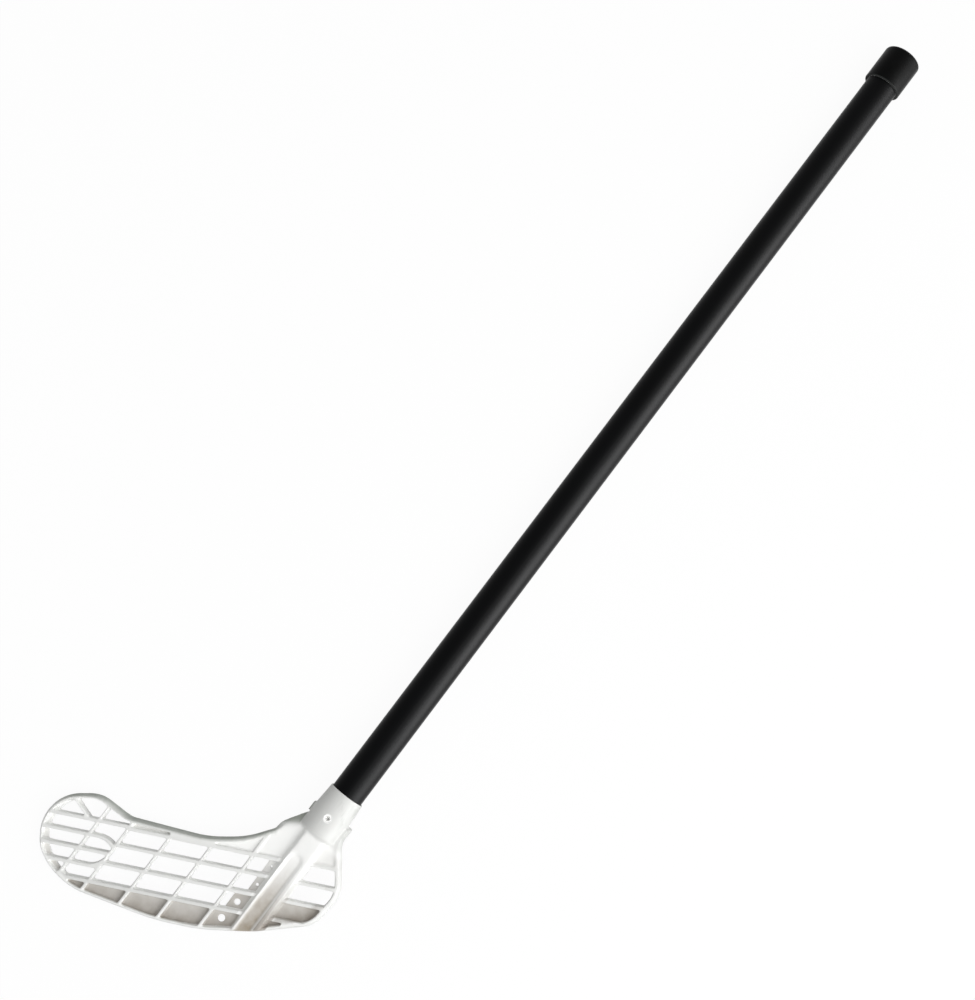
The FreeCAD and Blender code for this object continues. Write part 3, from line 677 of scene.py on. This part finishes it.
def round_top_edge(points):
    """Lower the blade's two faces along its top edge to a quarter ellipse.

    A point at a distance d below the edge keeps at most the depth of an ellipse, the square root
    of 1 - (1 - d / radius) squared.
    """
    depth = (points - SHAFT_LINE) @ BLADE_FRONT
    below, along_share = from_edge(points, TOP)
    radius = TOP_EDGE_ROUND * np.maximum(smooth_step(along_share, *TOP_EDGE_BAND), LEAST_ROUND_SHARE)
    rise = np.sqrt(1.0 - (1.0 - np.clip(below / radius, 0.0, 1.0)) ** 2)
    most = BLADE_HALF_DEPTH * (TOP_EDGE_LEAST + (1.0 - TOP_EDGE_LEAST) * rise)
    over = np.where(below < radius, np.abs(depth) - most, 0.0)
    lowered = np.sign(depth) * np.maximum(over, 0.0)
    return points - lowered[:, None] * BLADE_FRONT


def moulded_blade():
    """The CAD blade with its edges rounded as a moulding's are.

    Its surface is sampled on a fine lattice of cells and relaxed, which turns each sharp edge into
    a small round of about a cell's size. The socket's shoulder is relaxed further and the top edge
    is rounded more, and the surface is then thinned to the triangle limit.
    """
    voxel = VOXEL
    mesh = with_modifier(merged_copy("blade"), "REMESH", mode="VOXEL", voxel_size=voxel)
    mesh = with_modifier(mesh, "SMOOTH", factor=SOFTENING_FACTOR, iterations=SOFTENING_PASSES)
    edges = np.empty(2 * len(mesh.edges), dtype=np.int32)
    mesh.edges.foreach_get("vertices", edges)
    points = points_of(mesh)
    points = relaxed(points, edges.reshape(-1, 2), shoulder_share(points), SHOULDER_PASSES)
    points = round_top_edge(points)
    mesh.vertices.foreach_set("co", points.astype(np.float32).ravel())
    mesh.update()
    triangles = 2 * len(mesh.polygons)
    if triangles > BLADE_TRIANGLES:
        mesh = with_modifier(mesh, "DECIMATE", ratio=BLADE_TRIANGLES / triangles)
    for name, share in shade_and_scuff_shares(points_of(mesh), normals_of(mesh)).items():
        carry_share(mesh, name, share)
    new_piece("blade_moulding", mesh, white_plastic(), "stick", "blade")


def rounded_profile(corners):
    """Points of a profile whose inner corners, given as (along, out, radius), are turned into arcs.

    An arc touches both runs beside its corner: its points are the start and end of the arc, seen
    from its centre and blended by the sines of the angles that are left and done.
    """
    places = np.array([corner[:2] for corner in corners])
    points = [places[:1]]
    share = np.linspace(0.0, 1.0, ARC_STEPS)[:, None]
    for before, place, after, (_, _, radius) in zip(places, places[1:], places[2:], corners[1:]):
        back = (before - place) / np.linalg.norm(before - place)
        ahead = (after - place) / np.linalg.norm(after - place)
        half = 0.5 * math.acos(back @ ahead)
        centre = place + (back + ahead) / np.linalg.norm(back + ahead) * radius / math.sin(half)
        start = place + back * radius / math.tan(half) - centre
        end = place + ahead * radius / math.tan(half) - centre
        sweep = math.pi - 2.0 * half
        blend = np.sin((1.0 - share) * sweep) * start + np.sin(share * sweep) * end
        points.append(centre + blend / math.sin(sweep))
    points.append(places[-1:])
    return np.concatenate(points)


def rubber_cap():
    """Cup turned round the shaft's axis: a profile of (along, out) carried round a full circle.

    The profile runs from the middle of the cup's floor, out along the bore, round the rim, along
    the outside and over the rounded end to the axis.
    """
    low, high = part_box("end_cap")
    radius = 0.5 * (high.z - low.z)
    bore = radius - CAP_WALL
    floor = high.x - CAP_END_WALL
    profile = rounded_profile((
        (floor, 0.0, 0.0),
        (floor, bore, CAP_BASE_ROUND),
        (low.x, bore, CAP_MOUTH_ROUND),
        (low.x, radius, CAP_RIM_ROUND),
        (high.x, radius, CAP_END_ROUND),
        (high.x, 0.0, 0.0),
    ))
    angles = np.linspace(0.0, 2.0 * math.pi, CAP_SIDES, endpoint=False)
    along, out = profile[:, :1], profile[:, 1:]
    rings = np.stack(np.broadcast_arrays(
        along,
        SHAFT_LINE[1] + out * np.cos(angles),
        SHAFT_LINE[2] + out * np.sin(angles),
    ), axis=-1)
    mesh = ring_mesh("rubber_cap", rings)
    points = points_of(mesh)
    outwards = np.linalg.norm(points[:, 1:] - SHAFT_LINE[1:], axis=1)
    # Painted highlight on the outer part of the rim, near the mouth
    on_rim = smooth_step(points[:, 0] - low.x, *RIM_HIGHLIGHT_BAND)
    carry_share(mesh, "rim_highlight", on_rim * smooth_step(outwards, bore, radius))
    new_piece("rubber_cap", mesh, cap_rubber(), "end_cap", "end_cap")


def threaded_shank(length, angle):
    """Drops and radii of the screw's shank, in rows from its tip to under its head.

    The radius is the core plus a triangular ridge, which fills half of each pitch, climbs one pitch
    a turn and fades under the head. Both taper to nothing at the tip.
    """
    drop = np.linspace(length, SCREW_HEAD_DEPTH, SHANK_ROWS)[:, None]
    taper = np.clip((length - drop) / SCREW_TIP_LENGTH, 0.0, 1.0)
    turn = (drop / SCREW_PITCH + angle / (2.0 * math.pi)) % 1.0
    ridge = np.clip(1.0 - np.abs(4.0 * turn - 2.0), 0.0, 1.0)
    fade = smooth_step(drop, SCREW_HEAD_DEPTH, SCREW_HEAD_DEPTH + SCREW_PITCH)
    return np.broadcast_arrays(drop, taper * (SCREW_CORE_RADIUS + SCREW_RIDGE * ridge * fade))


def cross_head(angle):
    """Drops and radii of the screw head's top, in rows from its edge to its middle.

    The top is a disc that drops where either arm of a cross covers it.
    """
    disc = np.linspace(1.0, 0.0, HEAD_ROWS)[:, None] * SCREW_HEAD_RADIUS
    across, along = np.abs(disc * np.cos(angle)), np.abs(disc * np.sin(angle))
    inside = [np.minimum(0.5 * CROSS_LENGTH - one, 0.5 * CROSS_WIDTH - other)
              for one, other in ((across, along), (along, across))]
    dip = CROSS_DEPTH * smooth_step(np.maximum(*inside), -0.5 * CROSS_SLOPE, 0.5 * CROSS_SLOPE)
    return np.broadcast_arrays(dip, disc)


def threaded_screw():
    """Countersunk screw: rings of points round its axis, from its tip to the middle of its head.

    A point lies at its ring's angle and radius round the axis, and at a drop below the head's top.
    The head's edge is a ring of its own between the shank's rows and the top's.
    """
    node_points = points_of(frame["nodes"]["socket_screw"].data)
    heights = (node_points - SHAFT_LINE) @ BLADE_FRONT
    top, length = heights.max(), np.ptp(heights)
    angle = np.linspace(0.0, 2.0 * math.pi, SCREW_SIDES, endpoint=False)
    head_edge = [np.full((1, SCREW_SIDES), measure) for measure in (SCREW_HEAD_EDGE, SCREW_HEAD_RADIUS)]
    sections = (threaded_shank(length, angle), head_edge, cross_head(angle))
    drops, outs = [np.concatenate(rows) for rows in zip(*sections)]
    foot = np.array([SCREW_ALONG, *SHAFT_LINE[1:]])
    rings = (foot
             + (outs * np.cos(angle))[..., None] * SHAFT_AXIS
             + (outs * np.sin(angle))[..., None] * BLADE_SIDE
             + (top - drops)[..., None] * BLADE_FRONT)
    mesh = ring_mesh("threaded_screw", rings)
    from_foot = points_of(mesh) - foot
    below_top = top - from_foot @ BLADE_FRONT
    off_axis = np.linalg.norm(np.cross(from_foot, BLADE_FRONT), axis=1)
    # Painted shade over the middle of the head, round its cross
    head_shade = smooth_step(below_top, *HEAD_SHADE_DEPTHS) * smooth_step(off_axis, *HEAD_SHADE_RADII)
    carry_share(mesh, "head_shade", head_shade)
    new_piece("threaded_screw", mesh, screw_steel(), "socket_screw", "socket_screw")


def lay_floor():
    """One flat square under the object."""
    half = 0.5 * FLOOR_SIZE
    corners = [(-half, -half, 0.0), (half, -half, 0.0), (half, half, 0.0), (-half, half, 0.0)]
    mesh = bpy.data.meshes.new("floor")
    mesh.from_pydata(corners, [], [(0, 1, 2, 3)])
    dress(mesh, pale_floor())
    floor = bpy.data.objects.new("floor", mesh)
    bpy.context.scene.collection.objects.link(floor)


def facing(place, aim, up):
    """Matrix of a camera or lamp at a place that looks at an aim."""
    back = (place - aim).normalized()
    right = up.cross(back).normalized()
    turn = Matrix((right, back.cross(right), back)).transposed()
    return Matrix.Translation(place) @ turn.to_4x4()


def place_camera():
    """The photograph's viewpoint."""
    lens = bpy.data.cameras.new("photo_camera")
    lens.sensor_fit = "VERTICAL"
    lens.sensor_height = SENSOR_HEIGHT
    lens.lens = FOCAL_LENGTH
    camera = bpy.data.objects.new("photo_camera", lens)
    bpy.context.scene.collection.objects.link(camera)
    camera.matrix_world = facing(CAMERA_PLACE, CAMERA_AIM, PICTURE_UP)
    bpy.context.scene.camera = camera


def place_lamp(name, place, aim, size, power):
    """Soft lamp of a given width and height that faces an aim."""
    light = bpy.data.lights.new(name, "AREA")
    light.shape = "RECTANGLE"
    light.size, light.size_y = size
    light.energy = power
    lamp = bpy.data.objects.new(name, light)
    bpy.context.scene.collection.objects.link(lamp)
    lamp.matrix_world = facing(place, aim, Vector((0.0, 0.0, 1.0)))
    return lamp


def light_scene():
    """A main lamp on one side, a strip that only reflections show, and a dim even world."""
    across = KEY_DISTANCE * math.cos(KEY_ELEVATION)
    key_place = CAMERA_AIM + Vector((
        across * math.cos(KEY_BEARING),
        across * math.sin(KEY_BEARING),
        KEY_DISTANCE * math.sin(KEY_ELEVATION)))
    place_lamp("key_lamp", key_place, CAMERA_AIM, (KEY_SIZE, KEY_SIZE), KEY_POWER)
    straight_ahead = STRIP_PLACE + Vector((0.0, 1.0, 0.0))
    strip = place_lamp(
        "sheen_strip", STRIP_PLACE, straight_ahead, (STRIP_LENGTH, STRIP_HEIGHT), STRIP_POWER)
    strip.visible_diffuse = False
    bpy.context.scene.world = white_world()


moulded_blade()
dress(frame["nodes"]["shaft"].data, satin_black())
rubber_cap()
threaded_screw()
lay_floor()
light_scene()
place_camera()
bpy.context.scene.view_settings.view_transform = "Standard"
